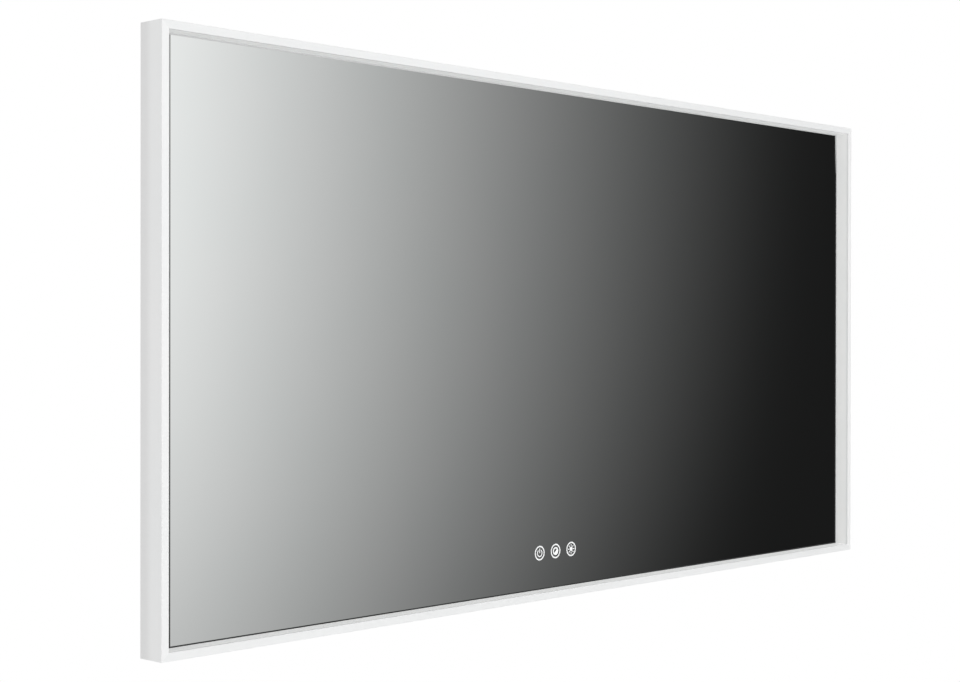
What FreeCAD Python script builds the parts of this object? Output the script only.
import FreeCAD
import Part
import math
import os

from FreeCAD import Vector

# Lighted bathroom mirror, wall hung.
# Frame: +X to the right of someone who faces the mirror, +Y into the wall, +Z up.
# Origin: on the wall plane, midway between the wall rail's inner pair of screw holes.
# Every size is in millimetres.

os.makedirs("parts", exist_ok=True)

# ---------------------------------------------------------------- frame
frame_width = 1828.8
frame_height = 914.4
frame_depth = 50.8
wall_gap = 2.0  # from the frame's rear face to the wall
rail_drop = 120.0  # from the frame's top edge down to the wall rail's screws
profile_wall = 1.6  # walls of the extruded frame bars
lip_width = 12.7
edge_radius = 0.5  # rounding of the lip's two front edges
front_web = 1.2  # web that closes the light chamber behind
rib_wall = 1.2  # ribs that hold the light cover's edges
rib_depth = 3.0
lip_return = 0.9  # the lip's turned-in end, in front of the cover's tongue
lip_return_depth = 2.3

# ---------------------------------------------------------------- glass
mirror_recess = 31.75  # from the lip's face back to the mirror's face
glass_thickness = 5.0
glass_edge_gap = 2.0  # from the glass's edge to the bar's outer wall
gasket_thickness = 1.55
gasket_overhang = 1.8  # how far the gasket shows inside the frame
gasket_depth_in = 6.0  # how far the gasket reaches under the web
film_thickness = 0.3
rear_tape_thickness = 0.95
rear_tape_width = 8.0
setting_block_length = 80.0
setting_block_inset = 0.4  # the block is this much thinner than the glass and film
setting_block_place = 457.2  # from the mirror's centre line to the middle of a block

# ---------------------------------------------------------------- light
cover_thickness = 2.0
cover_tongue = 1.0
cover_fit = 0.1  # clearance between the cover and the bar
strip_width = 8.0
strip_thickness = 0.4
strip_bead_width = 3.0
strip_bead_height = 1.0
strip_end_margin = 24.0  # from the frame's corner to the strip's end

# ---------------------------------------------------------------- corners
key_fit = 0.15  # clearance round the key's legs
key_leg = 54.0
grub_radius = 2.5
grub_length = 6.0
grub_fit = 0.03
grub_access_radius = 3.0
grub_first = 28.0  # from the frame's corner to the first grub screw
grub_pitch = 18.0

# ---------------------------------------------------------------- wall rail and hanger
rail_thickness = 2.0
rail_length = 1500.0
rail_foot = 20.0  # below the screws' line
rail_head = 10.0  # above the screws' line, to the top of the rail's web
rail_stand = 12.3  # height of the upturned flange above the web
hook_slot = 5.1  # from the wall to the upturned flange
hook_play = 0.4  # between the hook and the upturned flange
hook_tip_clearance = 0.3
stud_pitch = 406.4
screw_hole_radius = 2.75
hanger_play = 1.6  # between the hanger's flange and the wall rail
hanger_flange = 30.0
rail_end_gap = 5.0  # from a rail's end to the side bar

# ---------------------------------------------------------------- lower rail and brackets
lower_rail_rise = 150.0  # above the frame's bottom edge
lower_rail_height = 30.0
lower_rail_wall = 1.5
lower_rail_depth = 4.0
bracket_thickness = 2.0
bracket_leg = 30.0
bracket_side_height = 60.0
bracket_side_spread = 46.0  # between the screws into the side bar
bracket_rail_spread = 14.0  # between the screws into the rail
bracket_rail_margin = 1.0  # from the rail leg's edges to the rail's
bracket_back_gap = 2.0  # from the bracket's side leg to the frame's rear face
screw_radius = 2.0
screw_fit = 0.05
screw_head_radius = 3.8
screw_head_height = 2.2
screw_grip = 2.5  # how far a screw reaches past what it holds
bumper_radius = 5.5
bumper_inset = 150.0  # from the frame's side edge to the bumper

# ---------------------------------------------------------------- touch symbols and board
icon_offset = -26.0  # of the middle symbol from the mirror's centre line
icon_rise = 77.4  # above the frame's bottom edge
icon_pitch = 43.0
icon_ring_radius = 13.0
icon_stroke = 2.4
icon_depth = 0.3
power_ring_radius = 7.0
power_stroke = 1.9
power_gap_angle = 70.0
power_bar_length = 8.0
colour_disc_radius = 7.2
colour_half_radius = 4.5
colour_half_tilt = -45.0  # from upright, towards the left
sun_disc_radius = 4.0
sun_ray_inner = 5.1
sun_ray_outer = 8.7
sun_ray_width = 1.8
sun_ray_count = 8
film_window_margin = 6.0
board_length = 146.0
board_height = 34.0
board_thickness = 1.2
collar_height = 3.0
collar_wall = 2.5
icon_led_size = 3.0
icon_led_height = 1.0
electrode_thickness = 0.3
electrode_width = 5.0
cover_wall = 2.0
cover_rim = 10.0  # how far the board's cover reaches past the board
cover_back_gap = 4.0  # from the cover's back to the frame's rear face
cover_corner_radius = 3.0
cover_rim_radius = 1.0
boss_radius = 3.5
boss_inset = 8.0
connector_length = 10.0
connector_width = 8.0

# ---------------------------------------------------------------- defogger
pad_width = 900.0
pad_thickness = 0.5
pad_top_gap = 51.4  # from the wiring box down to the pad
pad_bottom_gap = 89.6  # from the touch board's cover up to the pad
pad_terminal_length = 24.0
pad_terminal_height = 16.0
pad_terminal_depth = 7.0
pad_terminal_radius = 2.0

# ---------------------------------------------------------------- wiring box and driver
mounting_tape = 1.0
mounting_tape_width = 20.0
box_length = 120.0
box_height = 64.0
box_wall = 1.0
box_corner_radius = 2.0
box_drop = 85.0  # from the wall rail's screws down to the box's top
box_back_gap = 0.75
box_boss_radius = 3.5
box_screw_radius = 1.5
box_screw_length = 6.0
box_screw_head_radius = 2.8
box_screw_head_height = 1.4
terminal_length = 32.0
terminal_width = 18.0
terminal_height = 8.5
terminal_offset = 28.0
terminal_wire_radius = 1.8
terminal_pitch = 9.0
inlet_offset = -30.0
inlet_radius = 4.5
grommet_body_radius = 8.0
grommet_flange_radius = 10.5
grommet_flange = 1.0
driver_gap = 80.0  # from the wiring box to the driver
driver_length = 260.0
driver_height = 44.0
driver_wall = 1.2
driver_edge_radius = 2.0
driver_back_gap = 1.75
driver_cap = 4.0
driver_part_height = 5.0

# ---------------------------------------------------------------- leads
lead_height = 5.75  # from the safety film to the leads' centre line
mains_lead_radius = 3.0
control_lead_radius = 1.6
strip_lead_radius = 0.8
defogger_lead_radius = 1.3
lead_hole_clearance = 0.2
lead_bend = 25.0
lead_side_margin = 45.0  # from the defogger pad's edge to the control lead
strip_lead_run = 90.0  # from the touch board's cover out to the strip lead's turn
strip_lead_bend = 4.0
feed_slot_half = 1.5
clip_length = 10.0
clip_wall = 1.6
clip_fit = 0.1
clip_pitch = 130.0

# ---------------------------------------------------------------- planes and lines
y_rear = -wall_gap
y_lip = y_rear - frame_depth
y_glass = y_lip + mirror_recess
y_glass_back = y_glass + glass_thickness
y_film = y_glass_back + film_thickness
y_lead = y_film + lead_height
y_tape = y_film + mounting_tape
x_side = frame_width / 2
x_inner = x_side - lip_width
z_top = rail_drop
z_bottom = z_top - frame_height
z_middle = (z_top + z_bottom) / 2
z_box_top = -box_drop
z_box_bottom = z_box_top - box_height
z_box = (z_box_top + z_box_bottom) / 2
glass_inset = profile_wall + glass_edge_gap

# depths in the bar's section, from the lip's face
v_web_rear = mirror_recess - gasket_thickness
v_web_front = v_web_rear - front_web
v_chamber = mirror_recess + glass_thickness + film_thickness + rear_tape_thickness
v_chamber_in = v_chamber + profile_wall
v_chamber_out = frame_depth - profile_wall
u_chamber_out = lip_width - profile_wall
u_cover = lip_width - cover_thickness
u_rib = u_cover - cover_fit - rib_wall
v_strip = (profile_wall + v_web_front) / 2
y_chamber = y_lip + (v_chamber_in + v_chamber_out) / 2


# directions
RIGHT = Vector(1, 0, 0)
BACK = Vector(0, 1, 0)
FRONT = Vector(0, -1, 0)
UP = Vector(0, 0, 1)


# ---------------------------------------------------------------- small helpers
def box(x0, x1, y0, y1, z0, z1):
    """A block between two corners."""
    low = Vector(min(x0, x1), min(y0, y1), min(z0, z1))
    return Part.makeBox(abs(x1 - x0), abs(y1 - y0), abs(z1 - z0), low)


def rounded_box(x0, x1, y0, y1, z0, z1, along, radius):
    """A box whose four edges along one direction are rounded."""
    shape = box(x0, x1, y0, y1, z0, z1)
    straight = [edge for edge in shape.Edges if edge.tangentAt(0).cross(along).Length < 0.5]
    return shape.makeFillet(radius, straight)


def rod(radius, start, direction, length):
    """A round bar from a point along a direction."""
    return Part.makeCylinder(radius, length, start, direction)


def ring(outer, inner, start, direction, length):
    """A round bar with a round hole along it."""
    return rod(outer, start, direction, length).cut(rod(inner, start, direction, length))


def joined(shapes):
    """One solid from pieces that touch."""
    first = shapes[0]
    rest = shapes[1:]
    whole = first.fuse(rest) if rest else first
    return whole.removeSplitter()


def save(name, *shapes):
    """Write the solids of one node."""
    solids = []
    for shape in shapes:
        solids.extend(shape.Solids)
    node = solids[0] if len(solids) == 1 else Part.makeCompound(solids)
    node.exportStep("parts/" + name + ".step")
    return node


# ---------------------------------------------------------------- sides of the frame
# A side is drawn as the bottom one: along X, u up from its outer face, v back from the lip.
SIDES = {
    "bottom": (0, Vector(0, y_lip, z_bottom), frame_width),
    "left": (90, Vector(-x_side, y_lip, z_middle), frame_height),
    "top": (180, Vector(0, y_lip, z_top), frame_width),
    "right": (-90, Vector(x_side, y_lip, z_middle), frame_height),
}


def at_side(shape, side):
    """Turn a shape drawn on the bottom side, and move it to its own side."""
    angle, place, _ = SIDES[side]
    turned = shape.copy()
    turned.Placement = FreeCAD.Placement(place, FreeCAD.Rotation(BACK, angle))
    return turned


def bars_of(rectangles, length):
    """The straight bar whose section is made of rectangles u0, u1, v0, v1."""
    half = length / 2
    return joined([box(-half, half, v0, v1, u0, u1) for u0, u1, v0, v1 in rectangles])


def mitred(bar, length):
    """Cut both ends of a bar at 45 degrees, so that it meets its neighbours."""
    half = length / 2
    reach = lip_width + gasket_overhang + rib_depth
    corners = [(-half, 0), (half, 0), (half - reach, reach), (-half + reach, reach), (-half, 0)]
    outline = Part.makePolygon([Vector(x, 0, z) for x, z in corners])
    wedge = Part.Face(outline).extrude(Vector(0, frame_depth, 0))
    return bar.common(wedge)


def round_long_edges(bar, places, radius):
    """Round the long edges of a bar that lie at the given u, v."""
    picked = []
    for edge in bar.Edges:
        ends = [vertex.Point for vertex in edge.Vertexes]
        if len(ends) != 2 or abs(ends[0].x - ends[1].x) < radius:
            continue
        for u, v in places:
            if abs(ends[0].z - u) < radius / 2 and abs(ends[0].y - v) < radius / 2:
                picked.append(edge)
    return bar.makeFillet(radius, picked)


def frame_bar(side):
    """An extruded bar: lip, light chamber, glass groove and rear chamber for the keys."""
    length = SIDES[side][2]
    section = [
        (0, profile_wall, 0, frame_depth),
        (0, lip_width, 0, profile_wall),
        (lip_width - lip_return, lip_width, 0, profile_wall + lip_return_depth),
        (u_rib, u_rib + rib_wall, 0, profile_wall + rib_depth),
        (0, lip_width, v_web_front, v_web_rear),
        (u_rib, u_rib + rib_wall, v_web_front - rib_depth, v_web_rear),
        (0, lip_width, v_chamber, v_chamber_in),
        (0, lip_width, v_chamber_out, frame_depth),
        (u_chamber_out, lip_width, v_chamber, frame_depth),
    ]
    bar = bars_of(section, length)
    bar = round_long_edges(bar, [(0, 0), (lip_width, 0)], edge_radius)
    bar = mitred(bar, length)
    for place in grub_places(length):
        start = Vector(place, v_chamber_out - profile_wall, key_centre_u())
        bar = bar.cut(rod(grub_access_radius, start, BACK, 3 * profile_wall))
    return bar


def key_centre_u():
    """The middle of the rear chamber, from the bar's outer face."""
    return (profile_wall + u_chamber_out) / 2


def grub_places(length):
    """Where the grub screws stand along a side, two at each end."""
    near = length / 2 - grub_first
    far = near - grub_pitch
    return [-near, -far, far, near]


def light_cover(side):
    """The opal inner wall, with a tongue that sits behind the lip's return."""
    length = SIDES[side][2]
    v_step = profile_wall + lip_return_depth + cover_fit
    section = [
        (u_cover, u_cover + cover_tongue, profile_wall + cover_fit, v_web_front - cover_fit),
        (u_cover, lip_width, v_step, v_web_front - cover_fit),
    ]
    return mitred(bars_of(section, length), length)


def gasket(side):
    """The black strip between the bar's web and the glass."""
    length = SIDES[side][2]
    inner = lip_width + gasket_overhang
    outer = lip_width - gasket_depth_in
    return mitred(bars_of([(outer, inner, v_web_rear, mirror_recess)], length), length)


def rear_tape(side):
    """The foam tape between the glass's safety film and the rear chamber."""
    length = SIDES[side][2]
    v_start = mirror_recess + glass_thickness + film_thickness
    section = [(lip_width - rear_tape_width, lip_width, v_start, v_chamber)]
    return mitred(bars_of(section, length), length)


def led_strip(side):
    """A flexible circuit with one moulded light line, stuck to the bar's outer wall."""
    half = SIDES[side][2] / 2 - strip_end_margin
    u_circuit = profile_wall + strip_thickness
    half_width = strip_width / 2
    half_bead = strip_bead_width / 2
    circuit = box(-half, half, v_strip - half_width, v_strip + half_width, profile_wall, u_circuit)
    bead = box(
        -half, half, v_strip - half_bead, v_strip + half_bead, u_circuit, u_circuit + strip_bead_height
    )
    return joined([circuit, bead])


# ---------------------------------------------------------------- corners
# Signs of X and Z from the mirror's centre to each corner.
CORNERS = {
    "bottom_left": (-1, -1),
    "bottom_right": (1, -1),
    "top_left": (-1, 1),
    "top_right": (1, 1),
}


def corner_key(corner):
    """A cast angle whose legs fill the rear chambers of two bars."""
    sign_x, sign_z = CORNERS[corner]
    z_edge = z_top if sign_z > 0 else z_bottom
    outer = profile_wall + key_fit
    inner = u_chamber_out - key_fit
    y0 = y_lip + v_chamber_in + key_fit
    y1 = y_lip + v_chamber_out - key_fit
    x_far = sign_x * (x_side - key_leg)
    z_far = z_edge - sign_z * key_leg
    x_outer = sign_x * (x_side - outer)
    x_inside = sign_x * (x_side - inner)
    z_outer = z_edge - sign_z * outer
    z_inside = z_edge - sign_z * inner
    along_x = box(x_outer, x_far, y0, y1, z_outer, z_inside)
    along_z = box(x_outer, x_inside, y0, y1, z_outer, z_far)
    key = joined([along_x, along_z])
    for start in grub_starts(corner):
        hole = rod(grub_radius + grub_fit, start, BACK, grub_length + key_fit)
        key = key.cut(hole)
    return key


def grub_starts(corner):
    """The inner ends of the four grub screws of a corner."""
    sign_x, sign_z = CORNERS[corner]
    z_edge = z_top if sign_z > 0 else z_bottom
    y_start = y_lip + v_chamber_out - key_fit - grub_length
    middle = key_centre_u()
    starts = []
    for distance in (grub_first, grub_first + grub_pitch):
        x_along = sign_x * (x_side - distance)
        z_along = z_edge - sign_z * distance
        starts.append(Vector(x_along, y_start, z_edge - sign_z * middle))
        starts.append(Vector(sign_x * (x_side - middle), y_start, z_along))
    return starts


# ---------------------------------------------------------------- leads
def tube(points, radius, bends):
    """A round lead along straight runs, joined by a tangent arc of its own radius at each corner."""
    edges = []
    start = points[0]
    for before, corner, after, bend in zip(points, points[1:], points[2:], bends):
        back = (before - corner).normalize()
        on = (after - corner).normalize()
        half_turn = (math.pi - back.getAngle(on)) / 2
        trim = bend * math.tan(half_turn)
        enter = corner + back * trim
        leave = corner + on * trim
        inward = (back + on).normalize()
        centre = corner + inward * (bend / math.cos(half_turn))
        crown = centre - inward * bend
        edges.append(Part.LineSegment(start, enter).toShape())
        edges.append(Part.Arc(enter, crown, leave).toShape())
        start = leave
    edges.append(Part.LineSegment(start, points[-1]).toShape())
    path = Part.Wire(edges)
    circle = Part.makeCircle(radius, points[0], points[1] - points[0])
    return path.makePipeShell([Part.Wire(circle)], True, False)


def clip(centre, along, radius):
    """A stick-on saddle that holds a lead."""
    half = clip_length / 2
    wide = radius + clip_fit + clip_wall
    y_high = y_lead + radius + clip_fit + clip_wall
    if abs(along.x) > 0:
        body = box(centre.x - half, centre.x + half, y_film, y_high, centre.z - wide, centre.z + wide)
    else:
        body = box(centre.x - wide, centre.x + wide, y_film, y_high, centre.z - half, centre.z + half)
    start = centre - along * clip_length
    return body.cut(rod(radius + clip_fit, start, along, 2 * clip_length))


def clips_on_run(start, end, radius):
    """Clips at a steady pitch along a straight run, centred on it."""
    run = end - start
    count = max(1, int(run.Length // clip_pitch))
    along = Vector(run).normalize()
    first = (run.Length - (count - 1) * clip_pitch) / 2
    return [clip(start + along * (first + i * clip_pitch), along, radius) for i in range(count)]


# ---------------------------------------------------------------- the frame's nodes
x_icons = [icon_offset - icon_pitch, icon_offset, icon_offset + icon_pitch]
z_icons = z_bottom + icon_rise
cover_half_length = board_length / 2 + cover_rim
cover_half_height = board_height / 2 + cover_rim
x_feed = icon_offset - cover_half_length - strip_lead_run
u_feed = profile_wall + glass_edge_gap / 2

bars = {side: at_side(frame_bar(side), side) for side in SIDES}

# the strip lead's way through the bottom bar: a hole in the chamber, then two slots beside the glass
feed_hole = rod(
    strip_lead_radius + lead_hole_clearance,
    Vector(x_feed, y_lead, z_bottom + u_chamber_out - profile_wall),
    UP,
    3 * profile_wall,
)
feed_slot = box(
    x_feed - feed_slot_half,
    x_feed + feed_slot_half,
    y_lip + v_web_front - cover_fit,
    y_lip + v_chamber_in + cover_fit,
    z_bottom + profile_wall,
    z_bottom + profile_wall + glass_edge_gap,
)
bars["bottom"] = bars["bottom"].cut(feed_hole).cut(feed_slot)


# ---------------------------------------------------------------- rails
def along_width(half, *sections):
    """A bent sheet that runs the width: each section is y0, y1, z0, z1."""
    return joined([box(-half, half, y0, y1, z0, z1) for y0, y1, z0, z1 in sections])


y_slot = -hook_slot
y_stand = y_slot - rail_thickness
z_web = rail_head
z_seat = rail_head + rail_stand
wall_rail = along_width(
    rail_length / 2,
    (-rail_thickness, 0, -rail_foot, z_web),
    (y_stand, 0, z_web - rail_thickness, z_web),
    (y_stand, y_slot, z_web - rail_thickness, z_seat),
)
for step in (-1.5, -0.5, 0.5, 1.5):
    start = Vector(step * stud_pitch, -2 * rail_thickness, 0)
    wall_rail = wall_rail.cut(rod(screw_hole_radius, start, BACK, 3 * rail_thickness))


hanger_half = x_inner - rail_end_gap
y_hook_front = y_slot + hook_play
y_hook_rear = y_hook_front + rail_thickness
y_flange_rear = y_stand - hanger_play
y_flange_front = y_flange_rear - rail_thickness
z_hook_tip = z_web + hook_tip_clearance
z_hanger_web = z_seat + rail_thickness
z_hanger_top = z_seat + hanger_flange
hanger_rail = along_width(
    hanger_half,
    (y_hook_front, y_hook_rear, z_hook_tip, z_hanger_web),
    (y_flange_front, y_hook_rear, z_seat, z_hanger_web),
    (y_flange_front, y_flange_rear, z_seat, z_hanger_top),
)

z_lower = z_bottom + lower_rail_rise
z_lower_foot = z_lower - lower_rail_height / 2
z_lower_head = z_lower + lower_rail_height / 2
y_lower_front = y_rear - lower_rail_depth
lower_rail = along_width(
    hanger_half,
    (y_lower_front, y_lower_front + lower_rail_wall, z_lower_foot, z_lower_head),
    (y_lower_front, y_rear, z_lower_foot, z_lower_foot + lower_rail_wall),
    (y_lower_front, y_rear, z_lower_head - lower_rail_wall, z_lower_head),
)


def pan_screw(seat, direction, length):
    """A pan head screw: the head stands on the seat, the shank runs along the direction."""
    head = rod(screw_head_radius, seat - direction * screw_head_height, direction, screw_head_height)
    shank = rod(screw_radius, seat, direction, length)
    return joined([head, shank])


def screw_hole(seat, direction, length):
    """The clearance hole of a pan head screw."""
    return rod(screw_radius + screw_fit, seat - direction * length, direction, 3 * length)


# Each rail's bracket: the height of its middle, the rail's front face, its wall and its flat height.
z_flange = (z_hanger_web + z_hanger_top) / 2
flange_flat = z_hanger_top - z_hanger_web
RAIL_SEATS = {
    "hanger": (z_flange, y_flange_front, rail_thickness, flange_flat),
    "lower": (z_lower, y_lower_front, lower_rail_wall, lower_rail_height),
}
rails = {"hanger": hanger_rail, "lower": lower_rail}
brackets = []
bracket_screws = []
for rail, (z_bracket, y_plate, rail_wall, flat_height) in RAIL_SEATS.items():
    side_half = bracket_side_height / 2
    rail_half = flat_height / 2 - bracket_rail_margin
    y_plate_front = y_plate - bracket_thickness
    y_leg_front = min(y_plate_front, y_chamber - screw_head_radius - screw_fit)
    y_leg_rear = y_rear - bracket_back_gap
    for side, sign in (("left", -1), ("right", 1)):
        x_wall = sign * x_inner
        x_leg = sign * (x_inner - bracket_thickness)
        x_far = sign * (x_inner - bracket_leg)
        side_leg = box(x_wall, x_leg, y_leg_front, y_leg_rear, z_bracket - side_half, z_bracket + side_half)
        rail_leg = box(x_wall, x_far, y_plate_front, y_plate, z_bracket - rail_half, z_bracket + rail_half)
        bracket = joined([side_leg, rail_leg])
        x_screw = sign * (x_inner - (bracket_thickness + bracket_leg) / 2)
        outward = Vector(sign, 0, 0)
        for half in (-0.5, 0.5):
            seat = Vector(x_screw, y_plate + rail_wall, z_bracket + half * bracket_rail_spread)
            held = rail_wall + bracket_thickness
            hole = screw_hole(seat, FRONT, held)
            bracket = bracket.cut(hole)
            rails[rail] = rails[rail].cut(hole)
            bracket_screws.append(pan_screw(seat, FRONT, held))
            seat = Vector(x_leg, y_chamber, z_bracket + half * bracket_side_spread)
            held = bracket_thickness + profile_wall
            hole = rod(screw_radius + screw_fit, seat, outward, held + screw_grip)
            bracket = bracket.cut(hole)
            bars[side] = bars[side].cut(hole)
            bracket_screws.append(pan_screw(seat, outward, held + screw_grip))
        brackets.append(bracket)

save("wall_rail", wall_rail)
save("hanger_rail", rails["hanger"])
save("lower_rail", rails["lower"])
save("rail_brackets", *brackets)
save("rail_bracket_screws", *bracket_screws)

for side in SIDES:
    save("frame_" + side, bars[side])
    save("light_cover_" + side, at_side(light_cover(side), side))
    save("led_strip_" + side, at_side(led_strip(side), side))
    save("glass_gasket_" + side, at_side(gasket(side), side))

for corner in CORNERS:
    save("corner_key_" + corner, corner_key(corner))

grub_screws = []
for corner in CORNERS:
    for start in grub_starts(corner):
        grub_screws.append(rod(grub_radius, start, BACK, grub_length))
save("corner_grub_screws", *grub_screws)

bumper_u = lip_width / 2
bumpers = []
for sign_x in (-1, 1):
    for z_bumper in (z_bottom + bumper_u, z_top - bumper_u):
        start = Vector(sign_x * (x_side - bumper_inset), y_rear, z_bumper)
        bumpers.append(rod(bumper_radius, start, BACK, wall_gap))
save("wall_bumpers", *bumpers)

# ---------------------------------------------------------------- jumpers between the strips
y_strip = y_lip + v_strip
u_jumper = profile_wall + strip_lead_radius + lead_hole_clearance
jumpers = []
for corner in ("bottom_right", "top_right", "top_left"):
    sign_x, sign_z = CORNERS[corner]
    z_edge = z_top if sign_z > 0 else z_bottom
    x_turn = sign_x * (x_side - u_jumper)
    z_turn = z_edge - sign_z * u_jumper
    start = Vector(sign_x * (x_side - strip_end_margin), y_strip, z_turn)
    turn = Vector(x_turn, y_strip, z_turn)
    end = Vector(x_turn, y_strip, z_edge - sign_z * strip_end_margin)
    jumpers.append(tube([start, turn, end], strip_lead_radius, [strip_lead_bend]))
save("strip_jumpers", *jumpers)


# ---------------------------------------------------------------- touch symbols
def icon_disc(x, radius):
    """A round patch as deep as the etching."""
    return rod(radius, Vector(x, y_glass, z_icons), BACK, icon_depth)


def icon_circle(x, outer, stroke):
    """A round line as deep as the etching."""
    return icon_disc(x, outer).cut(icon_disc(x, outer - stroke))


def icon_bar(x, low, high, width):
    """An upright line above the symbol's centre."""
    return box(x - width / 2, x + width / 2, y_glass, y_glass + icon_depth, z_icons + low, z_icons + high)


def power_symbol(x):
    """A ring that is open at the top, and an upright stroke in the opening."""
    half = math.radians(power_gap_angle / 2)
    reach = 2 * power_ring_radius
    side_x = reach * math.tan(half)
    corners = [(0, 0), (side_x, reach), (-side_x, reach), (0, 0)]
    outline = Part.makePolygon([Vector(x + dx, y_glass, z_icons + dz) for dx, dz in corners])
    gap = Part.Face(outline).extrude(Vector(0, icon_depth, 0))
    arc = icon_circle(x, power_ring_radius, power_stroke).cut(gap)
    return [arc, icon_bar(x, 0, power_bar_length, power_stroke)]


def colour_symbol(x):
    """A disc with half of its inside left dark, the half at its upper left."""
    half = icon_bar(x, 0, colour_disc_radius, 2 * colour_disc_radius)
    half.rotate(Vector(x, y_glass, z_icons), BACK, colour_half_tilt)
    return [icon_disc(x, colour_disc_radius).cut(half.common(icon_disc(x, colour_half_radius)))]


def brightness_symbol(x):
    """A small disc with rays round it."""
    pieces = [icon_disc(x, sun_disc_radius)]
    for index in range(sun_ray_count):
        ray = icon_bar(x, sun_ray_inner, sun_ray_outer, sun_ray_width)
        ray.rotate(Vector(x, y_glass, z_icons), BACK, index * 360 / sun_ray_count)
        pieces.append(ray)
    return pieces


SYMBOLS = {
    "icon_power": power_symbol,
    "icon_colour": colour_symbol,
    "icon_brightness": brightness_symbol,
}
glass = box(
    -x_side + glass_inset,
    x_side - glass_inset,
    y_glass,
    y_glass_back,
    z_bottom + glass_inset,
    z_top - glass_inset,
)
for (name, draw), x_icon in zip(SYMBOLS.items(), x_icons):
    pieces = [icon_circle(x_icon, icon_ring_radius, icon_stroke)] + draw(x_icon)
    glass = glass.cut(pieces)
    save(name, *pieces)
save("mirror_glass", glass)

# ---------------------------------------------------------------- behind the glass
window_half_x = board_length / 2 - film_window_margin
window_half_z = board_height / 2
film_window = box(
    icon_offset - window_half_x,
    icon_offset + window_half_x,
    y_glass_back,
    y_film,
    z_icons - window_half_z,
    z_icons + window_half_z,
)
film = box(
    -x_side + glass_inset,
    x_side - glass_inset,
    y_glass_back,
    y_film,
    z_bottom + glass_inset,
    z_top - glass_inset,
)
save("safety_film", film.cut(film_window))
save("glass_rear_tapes", *[at_side(rear_tape(side), side) for side in SIDES])

blocks = []
for sign in (-1, 1):
    x_block = sign * setting_block_place
    blocks.append(
        box(
            x_block - setting_block_length / 2,
            x_block + setting_block_length / 2,
            y_glass + setting_block_inset,
            y_film - setting_block_inset,
            z_bottom + profile_wall,
            z_bottom + glass_inset,
        )
    )
save("glass_setting_blocks", *blocks)

z_pad = z_icons + cover_half_height + pad_bottom_gap
z_pad_top = z_box_bottom - pad_top_gap
x_terminal = icon_offset
pad = box(-pad_width / 2, pad_width / 2, y_film, y_film + pad_thickness, z_pad, z_pad_top)
pad_terminal = rounded_box(
    x_terminal - pad_terminal_length / 2,
    x_terminal + pad_terminal_length / 2,
    y_film + pad_thickness,
    y_film + pad_thickness + pad_terminal_depth,
    z_pad,
    z_pad + pad_terminal_height,
    BACK,
    pad_terminal_radius,
)
save("defogger_pad", joined([pad, pad_terminal]))

# ---------------------------------------------------------------- touch board
y_board = y_glass_back + collar_height
y_board_rear = y_board + board_thickness
y_cover = y_rear - cover_back_gap
y_connector = y_cover - cover_wall - 2 * cover_fit
board = box(
    icon_offset - board_length / 2,
    icon_offset + board_length / 2,
    y_board,
    y_board_rear,
    z_icons - board_height / 2,
    z_icons + board_height / 2,
)
connector_x = board_length / 2 - boss_inset - boss_radius - connector_length
connectors = []
for sign in (-1, 1):
    x_near = icon_offset + sign * connector_x
    connectors.append(
        box(
            x_near,
            x_near + sign * connector_length,
            y_board_rear,
            y_connector,
            z_icons - connector_width / 2,
            z_icons + connector_width / 2,
        )
    )
connectors.append(
    box(
        x_terminal - connector_width / 2,
        x_terminal + connector_width / 2,
        y_board_rear,
        y_connector,
        z_icons,
        z_icons + connector_length,
    )
)
save("touch_board", joined([board] + connectors))

collar_outer = icon_ring_radius + collar_wall
collars = []
electrodes = []
icon_leds = []
for x_icon in x_icons:
    start = Vector(x_icon, y_glass_back, z_icons)
    collars.append(ring(collar_outer, icon_ring_radius, start, BACK, collar_height))
    start = Vector(x_icon, y_board - electrode_thickness, z_icons)
    outer = icon_ring_radius - collar_wall / 2
    electrodes.append(ring(outer, outer - electrode_width, start, BACK, electrode_thickness))
    half = icon_led_size / 2
    icon_leds.append(
        box(x_icon - half, x_icon + half, y_board - icon_led_height, y_board, z_icons - half, z_icons + half)
    )
save("icon_light_collars", *collars)
save("touch_electrodes", *electrodes)
save("icon_leds", *icon_leds)

touch_cover = rounded_box(
    icon_offset - cover_half_length,
    icon_offset + cover_half_length,
    y_film,
    y_cover,
    z_icons - cover_half_height,
    z_icons + cover_half_height,
    BACK,
    cover_corner_radius,
)
rim = [edge for edge in touch_cover.Edges if edge.BoundBox.YMin > y_cover - cover_rim_radius]
touch_cover = touch_cover.makeFillet(cover_rim_radius, rim)
touch_cover = touch_cover.cut(
    box(
        icon_offset - cover_half_length + cover_wall,
        icon_offset + cover_half_length - cover_wall,
        y_film,
        y_cover - cover_wall,
        z_icons - cover_half_height + cover_wall,
        z_icons + cover_half_height - cover_wall,
    )
)
bosses = []
for sign_x in (-1, 1):
    for sign_z in (-1, 1):
        x_boss = icon_offset + sign_x * (board_length / 2 - boss_inset)
        z_boss = z_icons + sign_z * (board_height / 2 - boss_inset)
        start = Vector(x_boss, y_board_rear, z_boss)
        bosses.append(rod(boss_radius, start, BACK, y_cover - cover_wall - y_board_rear))
touch_cover = joined([touch_cover] + bosses)

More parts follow.
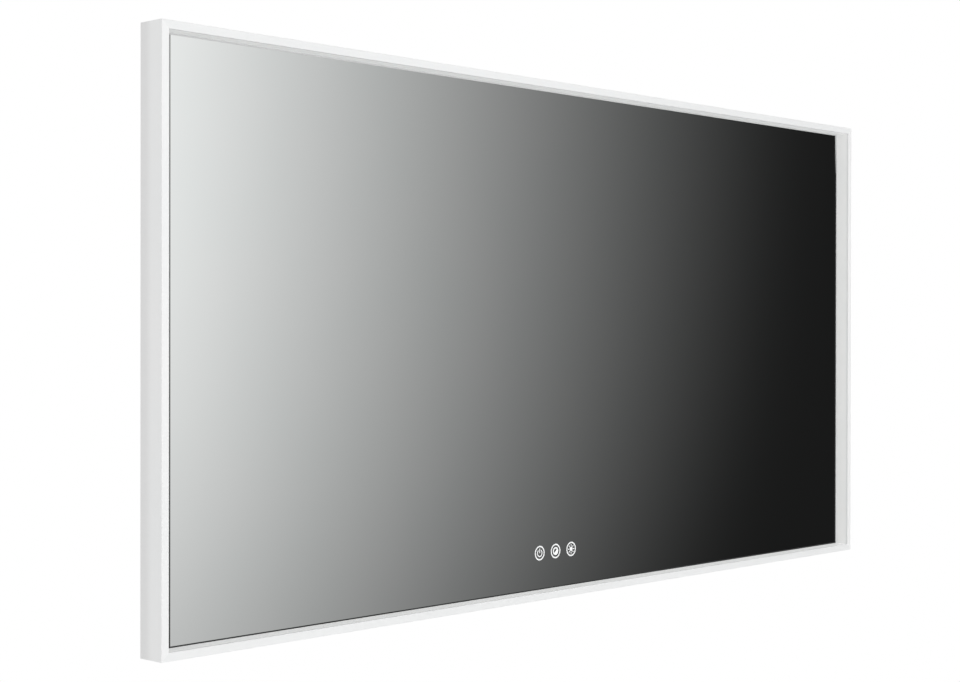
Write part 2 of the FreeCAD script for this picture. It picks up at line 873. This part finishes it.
# ---------------------------------------------------------------- wiring box
y_lid_rear = y_rear - box_back_gap
y_lid = y_lid_rear - box_wall
box_half = box_length / 2
box_section = (z_box_bottom, z_box_top, BACK, box_corner_radius)
wiring_box = rounded_box(-box_half, box_half, y_tape, y_lid, *box_section)
wiring_box = wiring_box.cut(
    rounded_box(
        -box_half + box_wall,
        box_half - box_wall,
        y_tape + box_wall,
        y_lid,
        z_box_bottom + box_wall,
        z_box_top - box_wall,
        BACK,
        box_corner_radius - box_wall,
    )
)
lid = rounded_box(-box_half, box_half, y_lid, y_lid_rear, *box_section)
boss_in = box_wall + box_boss_radius - box_wall / 2
box_bosses = []
box_screws = []
for sign_x in (-1, 1):
    for sign_z in (-1, 1):
        x_boss = sign_x * (box_half - boss_in)
        z_boss = z_box + sign_z * (box_height / 2 - boss_in)
        floor = Vector(x_boss, y_tape + box_wall / 2, z_boss)
        box_bosses.append(rod(box_boss_radius, floor, BACK, y_lid - floor.y))
        seat = Vector(x_boss, y_lid_rear, z_boss)
        head = rod(box_screw_head_radius, seat, BACK, box_screw_head_height)
        shank = rod(box_screw_radius, seat, FRONT, box_screw_length)
        box_screws.append(joined([head, shank]))
wiring_box = joined([wiring_box] + box_bosses)
for screw in box_screws:
    middle = screw.BoundBox.Center
    start = Vector(middle.x, y_lid_rear, middle.z)
    hole = rod(box_screw_radius + grub_fit, start, FRONT, box_screw_length + grub_fit)
    wiring_box = wiring_box.cut(hole)
    lid = lid.cut(hole)

# ---------------------------------------------------------------- supply inlet
inlet = Vector(inlet_offset, y_lid - grommet_flange, z_box)
grommet_length = 2 * grommet_flange + box_wall
grommet = joined(
    [
        rod(grommet_flange_radius, inlet, BACK, grommet_flange),
        rod(grommet_body_radius, inlet, BACK, grommet_length),
        rod(grommet_flange_radius, inlet + BACK * (grommet_flange + box_wall), BACK, grommet_flange),
    ]
)
grommet = grommet.cut(rod(inlet_radius, inlet, BACK, grommet_length))
lid = lid.cut(rod(grommet_body_radius, inlet, BACK, grommet_length))

x_terminal_end = terminal_offset + terminal_length / 2
terminal = box(
    terminal_offset - terminal_length / 2,
    x_terminal_end,
    y_tape + box_wall,
    y_tape + box_wall + terminal_height,
    z_box - terminal_width / 2,
    z_box + terminal_width / 2,
)
for step in (-0.5, 0.5):
    wire_way = rod(
        terminal_wire_radius,
        Vector(terminal_offset - terminal_length / 2, y_lead, z_box + step * terminal_pitch),
        RIGHT,
        terminal_length / 3,
    )
    terminal = terminal.cut(wire_way)

# ---------------------------------------------------------------- driver
x_driver = box_half + driver_gap
x_driver_end = x_driver + driver_length
z_driver = z_box
y_driver_rear = y_rear - driver_back_gap
driver_half = driver_height / 2
driver_section = (
    y_tape, y_driver_rear, z_driver - driver_half, z_driver + driver_half, RIGHT, driver_edge_radius
)
case = rounded_box(x_driver + driver_cap, x_driver_end - driver_cap, *driver_section)
case = case.cut(
    box(
        x_driver,
        x_driver_end,
        y_tape + driver_wall,
        y_driver_rear - driver_wall,
        z_driver - driver_half + driver_wall,
        z_driver + driver_half - driver_wall,
    )
)
y_driver_board = y_tape + driver_wall
driver_board = joined(
    [
        box(
            x_driver + driver_cap,
            x_driver_end - driver_cap,
            y_driver_board,
            y_driver_board + board_thickness,
            z_driver - driver_half + driver_wall + cover_fit,
            z_driver + driver_half - driver_wall - cover_fit,
        ),
        box(
            x_driver + driver_length / 4,
            x_driver + driver_length / 2,
            y_driver_board + board_thickness,
            y_driver_board + board_thickness + driver_part_height,
            z_driver - driver_half / 2,
            z_driver + driver_half / 2,
        ),
    ]
)
end_caps = []
for x_cap, lead_radius in ((x_driver, mains_lead_radius), (x_driver_end - driver_cap, control_lead_radius)):
    cap = rounded_box(x_cap, x_cap + driver_cap, *driver_section)
    start = Vector(x_cap - driver_cap, y_lead, z_driver)
    end_caps.append(cap.cut(rod(lead_radius + lead_hole_clearance, start, RIGHT, 3 * driver_cap)))

tapes = []
for x_low, x_high, z_mid in (
    (-box_half, box_half, z_box),
    (x_driver + driver_cap, x_driver_end - driver_cap, z_driver),
):
    for x_start in (x_low, x_high - mounting_tape_width):
        half = driver_half - driver_wall
        tapes.append(box(x_start, x_start + mounting_tape_width, y_film, y_tape, z_mid - half, z_mid + half))
save("mounting_tapes", *tapes)

# ---------------------------------------------------------------- the leads' routes
mains_lead = rod(
    mains_lead_radius,
    Vector(x_terminal_end, y_lead, z_box),
    RIGHT,
    x_driver + driver_cap - x_terminal_end,
)
wiring_box = wiring_box.cut(
    rod(
        mains_lead_radius + lead_hole_clearance,
        Vector(box_half - 2 * box_wall, y_lead, z_box),
        RIGHT,
        3 * box_wall,
    )
)

x_control = max(pad_width / 2, x_driver_end) + lead_side_margin
x_connector = icon_offset + connector_x + connector_length
control_points = [
    Vector(x_driver_end - driver_cap, y_lead, z_driver),
    Vector(x_control, y_lead, z_driver),
    Vector(x_control, y_lead, z_icons),
    Vector(x_connector, y_lead, z_icons),
]
control_lead = tube(control_points, control_lead_radius, [lead_bend, lead_bend])

strip_points = [
    Vector(icon_offset - connector_x - connector_length, y_lead, z_icons),
    Vector(x_feed, y_lead, z_icons),
    Vector(x_feed, y_lead, z_bottom + u_feed),
    Vector(x_feed, y_lip + v_strip + strip_width / 2 + cover_fit, z_bottom + u_feed),
]
strip_lead = tube(strip_points, strip_lead_radius, [lead_bend, strip_lead_bend])

defogger_lead = rod(
    defogger_lead_radius,
    Vector(x_terminal, y_lead, z_icons + connector_length),
    UP,
    z_pad - z_icons - connector_length,
)

# the ways out of the touch board's cover
for x_wall, lead_radius in (
    (icon_offset - cover_half_length - cover_wall, strip_lead_radius),
    (icon_offset + cover_half_length - 2 * cover_wall, control_lead_radius),
):
    start = Vector(x_wall, y_lead, z_icons)
    way = rod(lead_radius + lead_hole_clearance, start, RIGHT, 3 * cover_wall)
    touch_cover = touch_cover.cut(way)
start = Vector(x_terminal, y_lead, z_icons + cover_half_height - 2 * cover_wall)
way = rod(defogger_lead_radius + lead_hole_clearance, start, UP, 3 * cover_wall)
touch_cover = touch_cover.cut(way)

clips = []
clips += clips_on_run(
    Vector(x_control, y_lead, z_driver - lead_bend),
    Vector(x_control, y_lead, z_icons + lead_bend),
    control_lead_radius,
)
clips += clips_on_run(
    Vector(icon_offset + cover_half_length, y_lead, z_icons),
    Vector(x_control - lead_bend, y_lead, z_icons),
    control_lead_radius,
)
clips += clips_on_run(
    Vector(x_feed + lead_bend, y_lead, z_icons),
    Vector(icon_offset - cover_half_length, y_lead, z_icons),
    strip_lead_radius,
)

save("touch_cover", touch_cover)
save("wiring_box", wiring_box)
save("wiring_box_lid", lid)
save("wiring_box_screws", *box_screws)
save("terminal_block", terminal)
save("supply_grommet", grommet)
save("driver_case", case)
save("driver_board", driver_board)
save("driver_end_caps", *end_caps)
save("mains_lead", mains_lead)
save("control_lead", control_lead)
save("strip_lead", strip_lead)
save("defogger_lead", defogger_lead)
save("lead_clips", *clips)
